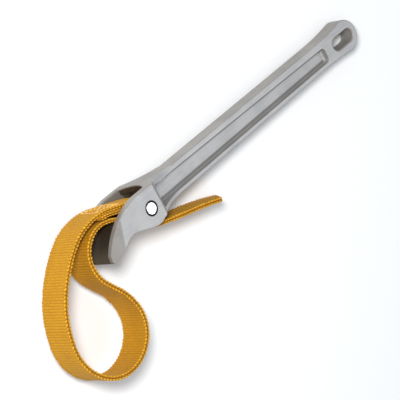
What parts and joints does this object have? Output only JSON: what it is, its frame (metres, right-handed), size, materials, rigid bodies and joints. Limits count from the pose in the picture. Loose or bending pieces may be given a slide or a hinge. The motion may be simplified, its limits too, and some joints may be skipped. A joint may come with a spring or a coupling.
{
  "type": "oil filter strap wrench",
  "caption": "Oil filter wrench: cast handle with a forked head, a cross pin, and a webbing strap that loops round the filter and returns through the head.",
  "frame": {"origin": "on the cross pin's axis, in the outer plane of the cheek that the tool rests on", "axes": "+X along the handle from the pin to the hanging slot, +Y towards the fork's open side, +Z along the pin, up through both cheeks"},
  "size_m": [0.3562, 0.1048, 0.038],
  "materials": {
    "casting": "satin",
    "pin": "polished",
    "webbing": "woven",
    "thread": "woven"
  },
  "bodies": {
    "handle": {"handle_casting": "casting", "strap_pin": "pin", "strap_throat": "webbing"},
    "strap_eye": {"strap_eye": "webbing", "strap_return": "webbing", "lap_stitching": "thread"},
    "strap_top": {"strap_top": "webbing"},
    "strap_left": {"strap_left": "webbing"},
    "strap_bottom_left": {"strap_bottom_left": "webbing"},
    "strap_waist": {"strap_waist": "webbing"},
    "strap_bottom_right": {"strap_bottom_right": "webbing"},
    "strap_tail": {"strap_tail": "webbing"},
    "strap_tail_end": {"strap_tail_end": "webbing"}
  },
  "joints": [
    {"name": "strap_swing", "type": "hinge", "parent": "handle", "child": "strap_eye", "pos_m": [0, 0, 0.019], "axis": [0, 0, 1], "range_deg": [-20, 0]},
    {"name": "tail_draw", "type": "slide", "parent": "handle", "child": "strap_tail", "axis": [0.9664, -0.2571, 0], "range_m": [-0.006, 0.015]},
    {"name": "top_draw", "type": "slide", "parent": "strap_eye", "child": "strap_top", "axis": [0.979, 0.204, 0], "range_m": [-0.00055, 0.00137]},
    {"name": "left_draw", "type": "slide", "parent": "strap_top", "child": "strap_left", "axis": [0.6357, 0.7719, 0], "range_m": [-0.00123, 0.00306]},
    {"name": "bottom_left_draw", "type": "slide", "parent": "strap_left", "child": "strap_bottom_left", "axis": [-0.675, 0.7378, 0], "range_m": [-0.00142, 0.00354]},
    {"name": "waist_draw", "type": "slide", "parent": "strap_eye", "child": "strap_waist", "axis": [0.6419, 0.7668, 0], "range_m": [-0.00063, 0.00156]},
    {"name": "bottom_right_draw", "type": "slide", "parent": "strap_waist", "child": "strap_bottom_right", "axis": [-0.0274, 0.9996, 0], "range_m": [-0.00163, 0.00406]},
    {"name": "tail_flex", "type": "hinge", "parent": "strap_tail", "child": "strap_tail_end", "pos_m": [0.04057, -0.02489, 0.019], "axis": [0, 0, 1], "range_deg": [-40, 10]}
  ],
  "couplings": [
    {"joint": "top_draw", "follows": "tail_draw", "ratio": 0.088824},
    {"joint": "left_draw", "follows": "tail_draw", "ratio": 0.19948},
    {"joint": "bottom_left_draw", "follows": "tail_draw", "ratio": 0.23081},
    {"joint": "waist_draw", "follows": "tail_draw", "ratio": 0.1016},
    {"joint": "bottom_right_draw", "follows": "tail_draw", "ratio": 0.26459}
  ]
}
